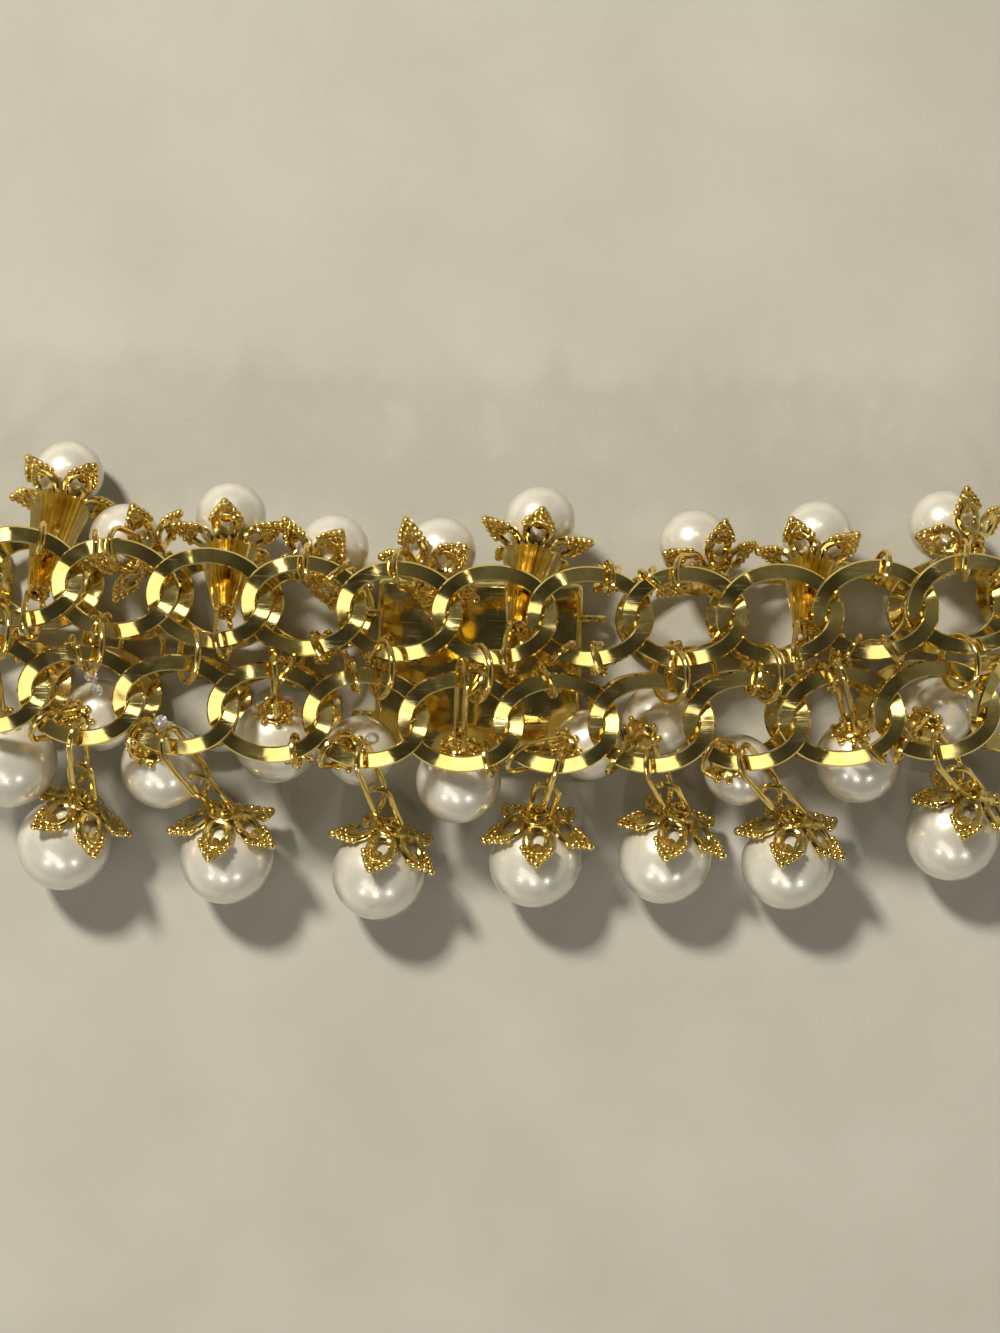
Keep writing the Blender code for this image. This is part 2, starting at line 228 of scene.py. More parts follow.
linkLook = {
    "deep": (0.80, 0.62, 0.18, 1.0),
    "bright": (0.91, 0.74, 0.29, 1.0),
    "scratch": (0.98, 0.90, 0.60, 1.0),
    "scratches": 0.6,
    "ripple": 1.1,
    "smooth": 0.06,
    "rough": 0.14,
}
castLook = {
    "deep": (0.80, 0.58, 0.15, 1.0),
    "bright": (0.91, 0.71, 0.26, 1.0),
    "scratch": (0.95, 0.82, 0.45, 1.0),
    "scratches": 0.2,
    "ripple": 0.9,
    "smooth": 0.08,
    "rough": 0.18,
}
linkGold = goldMaterial("gold_polished", linkLook)
castGold = goldMaterial("gold_cast", castLook)

pearlLook = {
    "body": (0.71, 0.67, 0.56, 1.0),
    "glow": (0.81, 0.78, 0.68, 1.0),
    # rim: painted shade, laid towards each pearl's outline where the surface turns away from the
    # camera
    "rim": (0.45, 0.41, 0.31, 1.0),
}


# Faint growth-like swirls in the lacquer and a barely dimpled surface
def lacquerGroup():
    group, given, result = makeGroup("pearlLacquer", [
        ("Coordinates", "NodeSocketVector", None),
        ("Swirl Scale", "NodeSocketFloat", 420.0),
    ], [("Swirl", "NodeSocketFloat"), ("Normal", "NodeSocketVector")])
    where = given.outputs["Coordinates"]
    swirl = addNode(group, "ShaderNodeTexNoise", {
        "Vector": where, "Scale": given.outputs["Swirl Scale"], "Detail": 4.0, "Distortion": 1.2,
    }).outputs["Fac"]
    dimples = addNoise(group, where, 1500.0, 2.0)
    bump = addNode(group, "ShaderNodeBump", {"Strength": 0.08, "Distance": 0.00005,
                                             "Height": dimples})
    group.links.new(swirl, result.inputs["Swirl"])
    group.links.new(bump.outputs["Normal"], result.inputs["Normal"])
    return group


def pearlMaterial():
    made, tree, shader, where = makeMaterial("pearl_lacquer")
    skin = useGroup(tree, lacquerGroup(), {"Coordinates": where})
    # Painted shade: the colour darkens towards the pearl's outline, by how far the surface faces away
    # from the camera
    edge = addNode(tree, "ShaderNodeLayerWeight", {"Blend": 0.35}).outputs["Facing"]
    colour = addMix(tree, addRamp(tree, skin.outputs["Swirl"], 0.3, 0.7),
                    pearlLook["body"], pearlLook["glow"])
    colour = addMix(tree, addRamp(tree, edge, 0.35, 1.0), colour, pearlLook["rim"])
    setInputs(tree, shader, {
        "Base Color": colour,
        "Roughness": 0.28,
        "Metallic": 0.35,
        "Specular IOR Level": 0.65,
        "Subsurface Weight": 0.2,
        "Subsurface Radius": (1.0, 0.8, 0.55),
        "Subsurface Scale": 0.001,
        "Coat Weight": 1.0,
        "Coat Roughness": 0.035,
        "Coat IOR": 1.75,
        "Normal": skin.outputs["Normal"],
    })
    return made


def crystalMaterial():
    made, tree, shader, where = makeMaterial("crystal_clear")
    haze = addRamp(tree, addNoise(tree, where, 2500.0, 2.0), 0.3, 0.7, 0.0, 0.05)
    setInputs(tree, shader, {"Base Color": (0.97, 0.98, 1.0, 1.0), "Roughness": haze,
                             "IOR": 1.62, "Transmission Weight": 0.9})
    return made


pearlFinish = pearlMaterial()
crystalFinish = crystalMaterial()
print("materials made")


# Rows of links, laid as the CAD lays them

link = {
    "length": 10.5 * mm,
    "width": 8.3 * mm,
    "face": 1.34 * mm,
    "thick": 0.80 * mm,
    "twist": 0.70 * mm,
    "chamfer": 0.13 * mm,
    "bank": 0.30 * mm,
    "spun": 10 * mm,
    "steps": 60,
    "lean": 2.2,
    "pitch": 7.8 * mm,
    "endRoom": 0.02 * mm,
}
loop = {
    "runLinks": 11,
    "bendAngle": math.radians(45.0),
    "lowHeight": 1.65 * mm,
    "spacing": 8.80 * mm,
    "stagger": 2.50 * mm,
    "bow": math.radians(6.0),
    "claspLinks": 3,
}
loop["highHeight"] = loop["lowHeight"] + 2 * link["pitch"] * math.sin(loop["bendAngle"])


def linkUnit():
    bm = bmesh.new()
    edge = link["spun"]
    middle = Matrix.Translation((edge - link["face"] / 2, 0, 0))
    upright = Matrix.Rotation(math.pi / 2, 4, "X")
    size = Matrix.Diagonal((link["face"], link["thick"], 1, 1))
    bmesh.ops.create_grid(bm, x_segments=1, y_segments=1, size=0.5, matrix=middle @ upright @ size)
    bmesh.ops.bevel(bm, geom=bm.verts[:], offset=link["chamfer"], segments=1, profile=0.5,
                    affect="VERTICES", material=-1)
    bmesh.ops.delete(bm, geom=bm.faces[:], context="FACES_ONLY")
    spinProfile(bm, bm.verts[:] + bm.edges[:], link["steps"])
    for vert in bm.verts:
        angle = math.atan2(vert.co.y, vert.co.x)
        inward = edge - math.hypot(vert.co.x, vert.co.y)
        ease = link["endRoom"] * inward / link["face"] * math.cos(angle) ** 2
        vert.co.x = (link["length"] / 2 - inward + ease) * math.cos(angle)
        vert.co.y = (link["width"] / 2 - inward) * math.sin(angle)
        lift = link["bank"] * (inward / link["face"] - 0.5) * math.sin(angle) ** 2
        vert.co.z += lift - link["twist"] * math.sin(2 * angle)
    return unitMesh("link_unit", bm)


def rowFrames(side):
    half = loop["runLinks"] // 2
    pitch = link["pitch"]
    shift = Vector((side * loop["stagger"] / 2, side * loop["spacing"] / 2, 0))
    point = Vector((-pitch / 2, 0, 0))
    right = []
    for index in range(half + 1):
        yaw = loop["bow"] * index / half
        along = Vector((math.cos(yaw), math.sin(yaw), 0))
        right.append((point + along * pitch / 2, yaw))
        point = point + along * pitch
    places = []
    for level, height in (("upper", loop["highHeight"]), ("lower", loop["lowHeight"])):
        for index in range(-half, half + 1):
            middle, yaw = right[abs(index)]
            hand = 1 if index >= 0 else -1
            centre = Vector((hand * middle.x, middle.y, height)) + shift
            along = Vector((math.cos(yaw), hand * math.sin(yaw), 0))
            if level == "lower":
                along = -along
            width = Vector((-hand * math.sin(yaw), math.cos(yaw), 0))
            places.append((level, index, frameOf(along, width, centre)))
    for hand in (1, -1):
        flat = Vector((math.cos(loop["bow"]), hand * math.sin(loop["bow"]), 0))
        width = Vector((-hand * math.sin(loop["bow"]), math.cos(loop["bow"]), 0))
        corner = Vector((hand * point.x, point.y, loop["highHeight"])) + shift
        out = hand * flat * math.cos(loop["bendAngle"])
        down = Vector((0, 0, -math.sin(loop["bendAngle"])))
        for step in (out + down, down - out):
            centre = corner + step * pitch / 2
            corner = corner + step * pitch
            places.append(("bend", hand, frameOf(step * hand, width, centre)))
    return places


rows = {-1: rowFrames(-1), 1: rowFrames(1)}
linkMesh = linkUnit()


def linkPlace(side, level, index):
    return next(place for run, number, place in rows[side] if (run, number) == (level, index))


rowRing = {
    "wire": 0.28 * mm,
    "radius": 2.26 * mm,
    "across": -0.40 * mm,
    "tilt": math.radians(30.0),
    "links": (-5, -4, -3, -1, 0, 2, 3, 5),
    "lowLinks": (-4, -2, 2, 4),
    "lowTilt": math.radians(32.0),
    "lean": 6.0,
}
ringMesh = ringUnit("row_ring_unit", rowRing["radius"], rowRing["wire"], 40, 12)


def addRowRing(bm, place, extraTilt):
    basis = place.to_3x3()
    along, width, up = (basis @ Vector(axis) for axis in ((1, 0, 0), (0, 1, 0), (0, 0, 1)))
    middle = place.translation - along * loop["stagger"] / 2
    middle = middle + width * (rowRing["across"] - loop["spacing"] / 2)
    angle = rowRing["tilt"] + extraTilt
    tilted = up * math.cos(angle) + along * math.sin(angle)
    stamp(bm, ringMesh, frameOf(width, tilted, middle))


def buildRow(name, side, node):
    bm = bmesh.new()
    for level, index, place in rows[side]:
        if level == "lower" and abs(index) <= loop["claspLinks"] // 2:
            continue
        lean = dice.uniform(-link["lean"], link["lean"]) if level == "upper" else 0.0
        stamp(bm, linkMesh, place @ Matrix.Rotation(math.radians(lean), 4, "X"))
    makePiece(name, bm, linkGold, (node,), crease=24.0)


def buildRowRings():
    bm = bmesh.new()
    for level, index, place in rows[1]:
        if level == "upper" and index in rowRing["links"]:
            addRowRing(bm, place, math.radians(dice.uniform(-rowRing["lean"], rowRing["lean"])))
        if level == "lower" and index in rowRing["lowLinks"]:
            addRowRing(bm, place, rowRing["lowTilt"])
    makePiece("row_rings", bm, castGold)


buildRow("links_back", 1, "chain_row_back")
buildRow("links_front", -1, "chain_row_front")
buildRowRings()
print("rows made")


# Capped drops: name, row side, link, place on its strip, pearl radius, the pearl's centre
# and where the cap looks, both as shares of the pitch and the row spacing, and its turn
outer = math.radians(90.0)
inner = math.radians(-72.0)
far = math.radians(126.0)
large = 4.0 * mm
medium = 3.6 * mm
small = 3.0 * mm
cappedDrops = (
    ("front_1", -1, -4, outer, large, (-4.47, -1.81, 0.47), (-4.15, -1.27, 0.76), 30.0),
    ("front_2", -1, -3, outer, large, (-2.69, -1.90, 0.47), (-2.69, -1.35, 0.76), 12.0),
    ("front_3", -1, -1, outer, large, (-1.03, -2.01, 0.47), (-0.84, -1.41, 0.76), 8.0),
    ("front_4", -1, 1, outer, large, (0.68, -1.85, 0.47), (0.70, -1.33, 0.77), 0.0),
    ("front_5", -1, 2, outer, large, (2.09, -1.78, 0.47), (2.24, -1.26, 0.76), 4.0),
    ("front_6", -1, 3, outer, large, (3.44, -1.80, 0.47), (3.49, -1.29, 0.76), 14.0),
    ("front_7", -1, 5, outer, large, (5.22, -1.48, 0.47), (5.40, -0.98, 0.76), 0.0),
    ("back_1", 1, -5, inner, small, (-4.55, 1.76, 0.40), (-4.80, 1.30, 0.64), 36.0),
    ("back_2", 1, -4, outer, small, (-3.86, 1.14, 0.74), (-3.50, 0.92, 0.98), 36.0),
    ("back_3", 1, -3, inner, small, (-2.72, 1.38, 0.72), (-2.84, 1.10, 0.62), 0.0),
    ("back_4", 1, -2, outer, small, (-1.60, 1.10, 0.74), (-1.80, 0.86, 0.98), 0.0),
    ("back_5", 1, -1, outer, small, (-0.44, 1.10, 0.74), (-0.62, 0.86, 0.98), 20.0),
    ("back_6", 1, 0, inner, small, (0.62, 1.42, 0.74), (0.48, 1.10, 0.62), 0.0),
    ("back_7", 1, 2, outer, small, (2.30, 1.24, 0.71), (2.44, 1.02, 0.87), 36.0),
    ("back_8", 1, 3, inner, small, (3.62, 1.36, 0.74), (3.48, 1.12, 0.62), 36.0),
    ("back_9", 1, 5, outer, small, (5.01, 1.50, 0.62), (5.26, 1.28, 0.90), 36.0),
)
# Plain drops: name, link of the front row, place on its strip, pearl radius and centre
plainDrops = (
    ("middle_1", -5, -outer, large, (-5.02, -1.00, 0.82)),
    ("middle_2", -4, far, small, (-4.06, -0.55, 0.79)),
    ("middle_3", -3, far, medium, (-3.36, -1.02, 0.80)),
    ("middle_4", -2, -outer, medium, (-2.15, -0.74, 0.80)),
    ("middle_5", -1, far, small, (-1.24, -0.82, 0.80)),
    ("middle_6", 0, -outer, medium, (-0.18, -1.08, 0.80)),
    ("middle_7", 1, far, small, (1.22, -0.70, 0.80)),
    ("middle_8", 2, far, small, (1.94, -0.45, 0.80)),
    ("middle_9", 3, far, small, (2.84, -0.90, 0.80)),
    ("middle_10", 4, -outer, medium, (4.12, -0.78, 0.80)),
    ("middle_11", 5, far, small, (4.97, -0.30, 0.80)),
)
drop = {
    "clear": 0.30 * mm,
    "loopRadius": 1.50 * mm,
    "loopWire": 0.26 * mm,
    "eyeRadius": 1.00 * mm,
    "eyeShare": 0.42,
    "pinHead": 0.42 * mm,
    "pinHeadDepth": 0.5,
    "coilRadius": 0.42 * mm,
    "coilWire": 0.15 * mm,
    "coilStep": 0.28 * mm,
    "coilLean": 0.12,
    "coilTurns": 3,
}
cap = {
    "petals": 5,
    "thick": 0.55 * mm,
    "spun": 10 * mm,
    "ovalMiddle": 2.50 * mm,
    "ovalLong": 1.12 * mm,
    "ovalWide": 1.12 * mm,
    "taper": 0.22,
    "rim": 0.30 * mm,
    "lip": 1.5,
    "grain": 0.30 * mm,
    "leaf": (1.05 * mm, 0.85 * mm, 0.20 * mm),
    "leafMiddle": 3.75 * mm,
    "beads": ((3.05, 1.22, 1.0), (3.52, 1.02, 1.0), (3.95, 0.74, 0.95), (4.32, 0.42, 0.9),
              (3.62, 0.38, 0.85), (4.02, 0.0, 0.85)),
    "tip": (4.70, 0.0, 1.35),
    "beadLift": 0.12 * mm,
    "hub": 1.55 * mm,
    "hubDepth": 0.2,
    "collar": 0.72 * mm,
    "collarWire": 0.26 * mm,
    "collarLift": 0.42 * mm,
    "studLift": 0.55 * mm,
    "wrap": 0.78,
    "flare": 0.35,
}
loopMesh = ringUnit("loop_unit", drop["loopRadius"], drop["loopWire"], 36, 10)
eyeMesh = ringUnit("eye_unit", drop["eyeRadius"], drop["loopWire"], 30, 10)
coilMesh = ringUnit("coil_unit", drop["coilRadius"], drop["coilWire"], 20, 8)
rimMesh = ringUnit("rim_unit", cap["spun"], cap["rim"], 28, 8)
collarMesh = ringUnit("collar_unit", cap["collar"], cap["collarWire"], 24, 8)
grainMesh = ballUnit("grain_unit", cap["grain"], 10, 6)
leafMesh = ballUnit("leaf_unit", 1.0, 20, 10)
headMesh = ballUnit("head_unit", drop["pinHead"], 14, 8)
hubMesh = ballUnit("hub_unit", cap["hub"], 24, 10)


def sharedPoint(shares):
    along, across, up = shares
    return Vector((along * link["pitch"], across * loop["spacing"], up * loop["spacing"]))


def anchorOf(side, linkIndex, angle):
    angle = side * angle
    long = link["length"] / 2 - link["face"] / 2
    wide = link["width"] / 2 - link["face"] / 2
    place = linkPlace(side, "upper", linkIndex)
    spot = Vector((long * math.cos(angle), wide * math.sin(angle),
                   -link["twist"] * math.sin(2 * angle)))
    runs = Vector((-long * math.sin(angle), wide * math.cos(angle),
                   -2 * link["twist"] * math.cos(2 * angle)))
    return place @ spot, (place.to_3x3() @ runs).normalized()


def addLoop(bm, tip, anchor, runs, unit):
    # A round ring drawn out into an oval between the two ends
    reach = (anchor - tip).normalized()
    normal = (runs - reach * runs.dot(reach)).normalized()
    added = stamp(bm, unit, Matrix.Identity(4))
    radius = max(vert.co.x for vert in added) - drop["loopWire"]
    length = max((anchor - tip).length - radius, 0.0)
    near = tip + reach * radius
    for vert in added:
        if vert.co.x > tiny:
            vert.co.x += length
    bmesh.ops.transform(bm, matrix=frameOf(reach, normal.cross(reach), near), verts=added)


def addRings(bm, tip, anchor, runs):
    # A jump ring through the strip, and the cap's own eye through that ring
    reach = (anchor - tip).normalized()
    normal = (runs - reach * runs.dot(reach)).normalized()
    meeting = tip.lerp(anchor, drop["eyeShare"])
    overlap = reach * drop["loopWire"] * 2
    addLoop(bm, tip, meeting + overlap, reach.cross(normal), eyeMesh)
    addLoop(bm, meeting - overlap, anchor, runs, loopMesh)


def addPinHead(bm, axis, spot):
    stamp(bm, headMesh, facing(axis, spot) @ Matrix.Diagonal((1, 1, drop["pinHeadDepth"], 1)))


def addCoils(bm, start, axis):
    # Wire wrapped round the pin under its loop
    for turn in range(drop["coilTurns"]):
        place = facing(axis, start + axis * turn * drop["coilStep"])
        stamp(bm, coilMesh, place @ Matrix.Rotation(drop["coilLean"], 4, "X"))


def capPoint(seat, axis, spin, radius, flat):
    # From petal coordinates (out, across, lift) to the dome over the pearl
    across = (Vector((0, 0, 1)) - axis * axis.z).normalized()
    other = axis.cross(across)
    reach = math.hypot(flat.x, flat.y)
    angle = spin + math.atan2(flat.y, flat.x)
    sag = radius + drop["clear"]
    over = min(reach, cap["wrap"] * radius)
    fall = sag - math.sqrt(sag * sag - over * over) + cap["flare"] * (reach - over)
    spread = across * math.cos(angle) + other * math.sin(angle)
    return seat + spread * reach + axis * (fall - flat.z)


def ovalSpot(angle, inward):
    # A leaf-shaped outline, narrower towards its tip
    narrow = 1.0 - cap["taper"] * (1 + math.cos(angle)) / 2
    return Vector((cap["ovalMiddle"] + (cap["ovalLong"] - inward) * math.cos(angle),
                   (cap["ovalWide"] * narrow - inward) * math.sin(angle), 0))


def addCap(bm, seat, axis, turn, radius):
    middle = cap["thick"] / 2
    for petal in range(cap["petals"]):
        spin = turn + 2 * math.pi * petal / cap["petals"]
        added = stamp(bm, rimMesh, Matrix.Identity(4))
        for vert in added:
            angle = math.atan2(vert.co.y, vert.co.x)
            inward = cap["spun"] - math.hypot(vert.co.x, vert.co.y)
            flat = ovalSpot(angle, inward * (cap["lip"] if inward > 0 else 1.0))
            flat.z = middle + vert.co.z
            vert.co = capPoint(seat, axis, spin, radius, flat)
        added = stamp(bm, leafMesh, Matrix.Diagonal((*cap["leaf"], 1)))
        for vert in added:
            flat = vert.co + Vector((cap["leafMiddle"], 0, middle))
            vert.co = capPoint(seat, axis, spin, radius, flat)
        for out, across, size in (*cap["beads"], cap["tip"]):
            for hand in ((1, -1) if across else (1,)):
                flat = Vector((out * mm, hand * across * mm, middle + cap["beadLift"]))
                spot = Matrix.Translation(capPoint(seat, axis, spin, radius, flat))
                stamp(bm, grainMesh, spot @ Matrix.Scale(size, 4))
    hub = seat - axis * middle
    stamp(bm, hubMesh, facing(axis, hub) @ Matrix.Diagonal((1, 1, cap["hubDepth"], 1)))
    stamp(bm, collarMesh, facing(axis, hub - axis * cap["collarLift"]))
    stamp(bm, headMesh, facing(axis, hub - axis * cap["studLift"]))


cone = {
    "neck": 0.75 * mm,
    "mouth": 2.20 * mm,
    "flutes": 22,
    "fluteSteps": 4,
    "depth": 0.14,
}


def addCone(bm, start, end):
    # A wave round the cone makes its flutes
    axis = (end - start).normalized()
    made = bmesh.ops.create_cone(bm, cap_ends=False, segments=cone["flutes"] * cone["fluteSteps"],
                                 radius1=cone["neck"], radius2=cone["mouth"],
                                 depth=(end - start).length)["verts"]
    for vert in made:
        wave = math.cos(cone["flutes"] * math.atan2(vert.co.y, vert.co.x))
        vert.co.xy *= 1 + cone["depth"] * wave
    bmesh.ops.transform(bm, matrix=facing(axis, (start + end) / 2), verts=made)
    stamp(bm, collarMesh, facing(axis, start))


def addPearl(bm, centre, radius, axis):
    bmesh.ops.create_uvsphere(bm, u_segments=48, v_segments=28, radius=radius,
                              matrix=facing(axis, centre))


def buildCapped():
    for name, side, linkIndex, place, size, centre, looks, turn in cappedDrops:
        middle = sharedPoint(centre)
        anchor, runs = anchorOf(side, linkIndex, place)
        aim = anchor if place == inner else sharedPoint(looks)
        axis = (middle - aim).normalized()
        seat = middle - axis * (size + drop["clear"])
        hub = seat - axis * cap["thick"]
        bm = bmesh.new()
        addPearl(bm, middle, size, axis)
        makePiece("bead_" + name, bm, pearlFinish, ("pearl_" + name,))
        bm = bmesh.new()
        addCap(bm, seat, axis, math.radians(turn), size)
        if place == inner:
            tip = anchor + axis * 2 * drop["loopRadius"]
            addCone(bm, tip - axis * drop["loopWire"], hub + axis * cap["thick"] * 0.5)
            addLoop(bm, tip, anchor, runs, loopMesh)
        else:
            addRings(bm, hub + axis * drop["loopWire"], anchor, runs)
        addPinHead(bm, axis, middle + axis * size)
        makePiece("petals_" + name, bm, castGold, ("cap_" + name,))


beadCup = {
    "radius": 1.50 * mm,
    "depth": 0.45,
    "sink": 0.22 * mm,
    "rise": 0.35 * mm,
    "grains": 9,
    "grainRing": 1.62 * mm,
    "grainLift": 0.2 * mm,
}
cupMesh = ballUnit("cup_unit", beadCup["radius"], 20, 10)


def addBeadCup(bm, top, axis, radius):
    # A small domed cup with a beaded edge, where the wire leaves the pearl
    place = facing(axis, top - axis * beadCup["sink"])
    stamp(bm, cupMesh, place @ Matrix.Diagonal((1, 1, beadCup["depth"], 1)))
    ring = beadCup["grainRing"]
    fall = radius - math.sqrt(radius ** 2 - ring ** 2) - beadCup["grainLift"]
    for grain in range(beadCup["grains"]):
        turn = Matrix.Rotation(2 * math.pi * grain / beadCup["grains"], 4, "Z")
        out = Matrix.Translation((ring, 0, 0))
        stamp(bm, grainMesh, facing(axis, top - axis * fall) @ turn @ out)


def buildPlain():
    for name, linkIndex, place, size, centre in plainDrops:
        middle = sharedPoint(centre)
        anchor, runs = anchorOf(-1, linkIndex, place)
        reach = (anchor - middle).normalized()
        bm = bmesh.new()
        addPearl(bm, middle, size, reach)
        makePiece("bead_" + name, bm, pearlFinish, ("pearl_" + name,))
        bm = bmesh.new()
        top = middle + reach * size
        addLoop(bm, top - reach * drop["loopWire"], anchor, runs, loopMesh)
        addBeadCup(bm, top, reach, size)
        addCoils(bm, top + reach * beadCup["rise"], reach)
        addPinHead(bm, reach, middle - reach * size)
        makePiece("wire_" + name, bm, castGold)


buildCapped()
buildPlain()
print("drops made")


# Spare rings left on the strips, each with one or two more hung below it:
# row side, link, degrees round it, and the lean of the ring in degrees
spareRing = {
    "radius": 1.30 * mm,
    "wire": 0.25 * mm,
    "shift": 0.32 * mm,
    "hang": 1.85 * mm,
    "spots": ((1, -4, -100, 10), (1, -2, -70, -15), (1, -1, -110, 20), (1, 1, -80, -10),
              (1, 1, -120, 25), (1, 2, -100, 5), (1, 4, -75, -20), (1, 4, -115, 15),
              (1, -2, 60, 20), (1, 1, 70, -15), (1, 4, 80, 10), (1, -5, 75, -10),
              (1, -4, 115, 15), (1, 2, 125, -20), (1, 5, 50, 15),
              (-1, -5, 75, 10), (-1, -4, 100, -15), (-1, -2, 80, 20), (-1, -1, 105, -5),
              (-1, 0, 75, 15), (-1, 1, 100, -20), (-1, 3, 80, 10), (-1, 4, 105, -15),
              (-1, 0, -60, 10), (-1, 4, -60, -20), (-1, -2, -60, 15)),
}


def buildSpareRings():
    unit = ringUnit("spare_ring_unit", spareRing["radius"], spareRing["wire"], 32, 10)
    bm = bmesh.new()
    for number, (side, linkIndex, degrees, lean) in enumerate(spareRing["spots"]):
        anchor, runs = anchorOf(side, linkIndex, side * math.radians(degrees))
        across = runs.cross(Vector((0, 0, 1))).normalized()
        spot = anchor - Vector((0, 0, spareRing["shift"]))
        place = frameOf(across, runs.cross(across), spot)
        stamp(bm, unit, place @ Matrix.Rotation(math.radians(lean), 4, "Y"))
        # Rings hung one below the other, each turned across the last
        for flat in (runs, across)[:1 + number % 2]:
            spot = spot - Vector((0, 0, spareRing["hang"]))
            hung = frameOf(flat, runs.cross(across), spot)
            stamp(bm, unit, hung @ Matrix.Rotation(math.radians(-2 * lean), 4, "Y"))
    makePiece("spare_rings", bm, castGold)


buildSpareRings()
print("spare rings made")


# Clear cut beads beside the middle pearls, at places in mm
crystal = {
    "radius": 0.62 * mm,
    "flatten": 0.72,
    "facetEdge": 0.03 * mm,
    "places": ((-31.6, -1.6, 12.9), (-31.1, -2.6, 12.6), (-25.8, -5.1, 12.8), (-25.2, -5.5, 12.2),
               (-8.5, -6.0, 12.55)),
}


def buildCrystals():
    unit = bmesh.new()
    bmesh.ops.create_uvsphere(unit, u_segments=9, v_segments=5, radius=crystal["radius"])
    bmesh.ops.bevel(unit, geom=unit.edges[:], offset=crystal["facetEdge"], segments=1, profile=0.5,
                    affect="EDGES", material=-1)
    mesh = unitMesh("crystal_unit", unit)
    bm = bmesh.new()
    for place in crystal["places"]:
        turned = Matrix.Rotation(dice.uniform(0.4, 1.4), 4, Vector((1, dice.uniform(-1, 1), 0)))
        squash = Matrix.Diagonal((1, 1, crystal["flatten"], 1))
        stamp(bm, mesh, Matrix.Translation(Vector(place) * mm) @ turned @ squash)
    makePiece("crystals", bm, crystalFinish, crease=5.0)


buildCrystals()
print("crystals made")


# Clasp under the middle of the lower run
clasp = {
    "width": 15.0 * mm,
    "height": 3.3 * mm,
    "round": 0.55 * mm,
    "seam": 0.25 * mm,
    "seamAt": 0.45,
    "seamDepth": 0.985,
    "lugRadius": 1.15 * mm,
    "lugWire": 0.36 * mm,
    "lugOut": 0.55,
}


def buildClasp():
    end = loop["claspLinks"] // 2 + 1
    half = link["pitch"] * end - link["length"] / 2 - drop["clear"] - loop["stagger"] / 2
    bm = bmesh.new()
    size = Matrix.Diagonal((half * 2, clasp["width"], clasp["height"], 1))
    bmesh.ops.create_cube(bm, size=1.0, matrix=Matrix.Translation((0, 0, clasp["height"] / 2)) @ size)
    bmesh.ops.bevel(bm, geom=bm.edges[:], offset=clasp["round"], segments=3, profile=0.5,
                    affect="EDGES", material=-1)
    # Shallow seam round the tongue's end
    start = half * clasp["seamAt"]
    for where in (start, start + clasp["seam"]):
        bmesh.ops.bisect_plane(bm, geom=bm.verts[:] + bm.edges[:] + bm.faces[:],
                               plane_co=(where, 0, 0), plane_no=(1, 0, 0))
    for vert in bm.verts:
        if -tiny < vert.co.x - start < clasp["seam"] + tiny:
            centre = Vector((vert.co.x, 0, clasp["height"] / 2))
            vert.co = centre + (vert.co - centre) * clasp["seamDepth"]
    lugMesh = ringUnit("lug_unit", clasp["lugRadius"], clasp["lugWire"], 24, 10)
    for side in (-1, 1):
        for hand in (-1, 1):
            eye = linkPlace(side, "lower", hand * end)
            spot = eye @ Vector((hand * (link["length"] - link["face"]) / 2, 0, 0))
            turn = Matrix.Rotation(math.pi / 2, 4, "X")
            near = Vector((hand * (half + clasp["lugRadius"] * clasp["lugOut"]), spot.y, spot.z))
            stamp(bm, lugMesh, Matrix.Translation(near) @ turn)
    makePiece("clasp_block", bm, linkGold, ("clasp",))


buildClasp()
print("clasp made")


# Floor, light and camera
stage = {
    "lens": 70.0,
    "height": 0.225,
    "aimX": 0.00182,
    "aimY": 0.0002,
    "roll": math.radians(1.6),
    "floorReach": 1.5,
}


def floorMaterial():
    made, tree, shader, where = makeMaterial("floor_pale")
    mottle = addRamp(tree, addNoise(tree, where, 60.0, 6.0), 0.3, 0.7)
    colour = addMix(tree, mottle, (0.42, 0.405, 0.345, 1.0), (0.475, 0.46, 0.40, 1.0))
    nap = addNoise(tree, where, 2600.0, 3.0)
    bump = addNode(tree, "ShaderNodeBump", {"Strength": 0.3, "Distance": 0.0001, "Height": nap})
    setInputs(tree, shader, {"Base Color": colour, "Roughness": 0.9,
                             "Specular IOR Level": 0.2, "Normal": bump.outputs["Normal"]})
    return made


def buildFloor():
    bm = bmesh.new()
    bmesh.ops.create_grid(bm, x_segments=1, y_segments=1, size=stage["floorReach"])
    mesh = unitMesh("floor", bm)
    mesh.materials.append(floorMaterial())
    floor = bpy.data.objects.new("floor", mesh)
    bpy.context.collection.objects.link(floor)


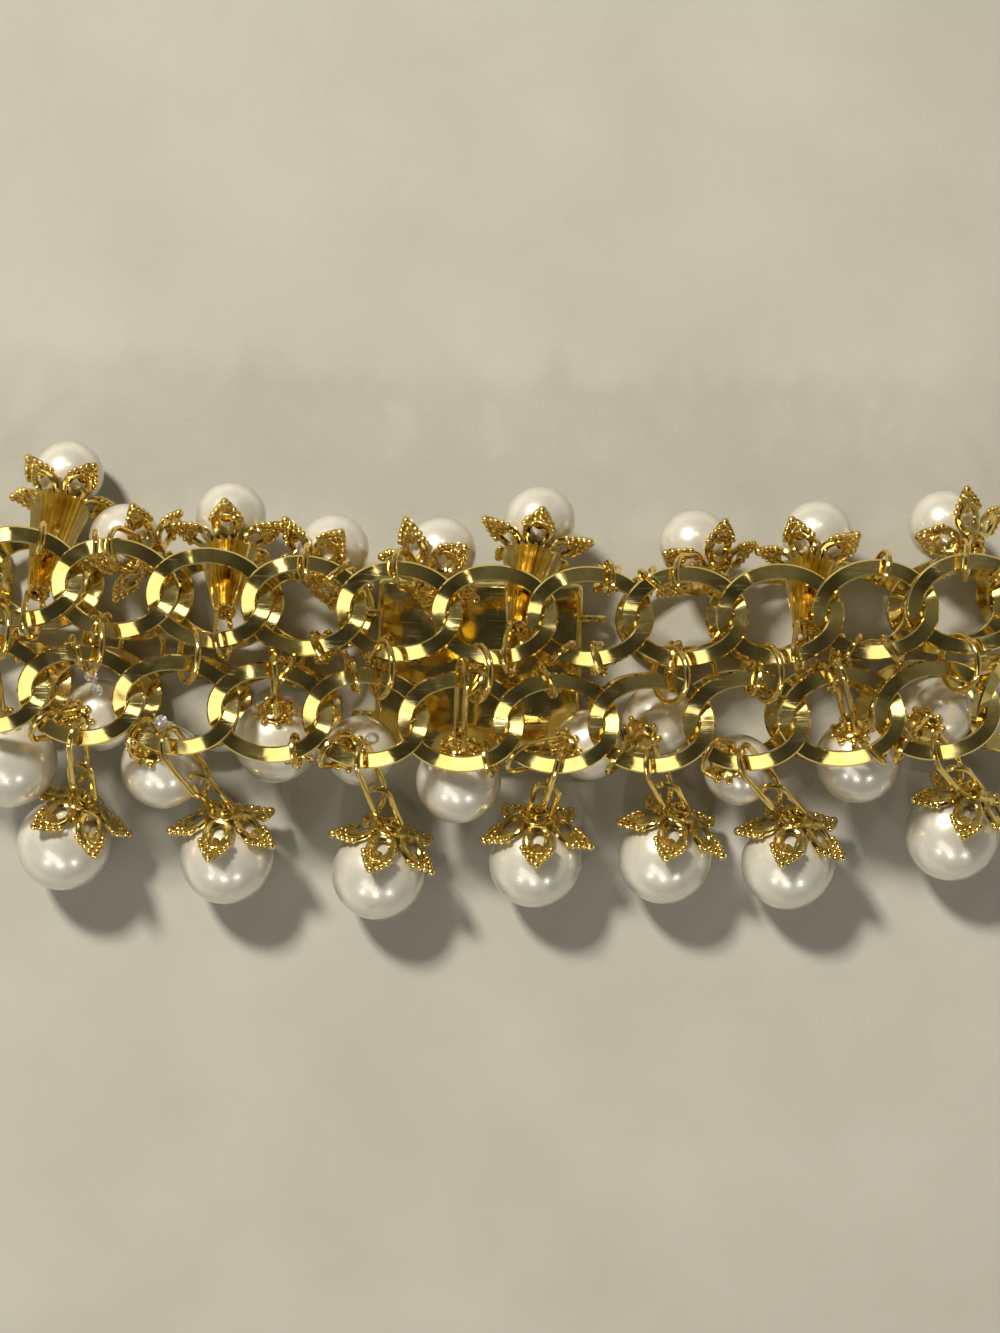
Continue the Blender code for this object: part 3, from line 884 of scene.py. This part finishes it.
def addLight(name, place, size, energy, colour):
    lamp = bpy.data.lights.new(name, "AREA")
    lamp.shape = "RECTANGLE"
    lamp.size, lamp.size_y = size
    lamp.energy = energy
    lamp.color = colour
    light = bpy.data.objects.new(name, lamp)
    light.location = place
    light.rotation_mode = "QUATERNION"
    light.rotation_quaternion = Vector(place).to_track_quat("Z", "Y")
    bpy.context.collection.objects.link(light)


# Each light: place, size, watts and colour
lights = {
    "key": ((-0.30, 0.42, 0.55), (0.10, 0.10), 6.6, (1.0, 0.95, 0.86)),
    "panel_low": ((-0.22, -0.32, 0.50), (0.44, 0.20), 0.42, (1.0, 0.96, 0.86)),
    "panel_top": ((0.04, 0.36, 0.52), (0.14, 0.09), 0.14, (1.0, 0.97, 0.90)),
    "spot_left": ((-0.38, -0.48, 0.40), (0.03, 0.03), 0.34, (1.0, 0.97, 0.92)),
    "spot_middle": ((-0.04, -0.48, 0.40), (0.03, 0.03), 0.34, (1.0, 0.97, 0.92)),
    "spot_right": ((0.30, -0.48, 0.40), (0.03, 0.03), 0.34, (1.0, 0.97, 0.92)),
}

buildFloor()
for lightName, (place, size, watts, colour) in lights.items():
    addLight(lightName, place, size, watts, colour)

# The room's glow at the sides and straight above, and the heights that it fades between
room = {
    "low": 0.35,
    "high": 0.97,
    "sideGlow": 0.26,
    "topGlow": 0.04,
    "tint": (0.95, 0.90, 0.80, 1.0),
}

world = bpy.data.worlds.new("soft_room")
world.use_nodes = True
backdrop = world.node_tree.nodes["Background"]
sky = world.node_tree
direction = addNode(sky, "ShaderNodeTexCoord").outputs["Generated"]
rise = addNode(sky, "ShaderNodeSeparateXYZ", {0: direction}).outputs["Z"]
glow = addRamp(sky, rise, room["low"], room["high"], room["sideGlow"], room["topGlow"])
sky.links.new(addMix(sky, glow, (0.0, 0.0, 0.0, 1.0), room["tint"]), backdrop.inputs["Color"])
backdrop.inputs["Strength"].default_value = 1.0
bpy.context.scene.world = world

lensData = bpy.data.cameras.new("camera")
lensData.lens = stage["lens"]
lensData.clip_start = 0.01
lensData.clip_end = 10.0
camera = bpy.data.objects.new("camera", lensData)
camera.location = (stage["aimX"], stage["aimY"], stage["height"])
camera.rotation_euler = (0, 0, stage["roll"])
bpy.context.collection.objects.link(camera)
bpy.context.scene.camera = camera
bpy.context.scene.view_settings.view_transform = "Standard"
print("stage made")
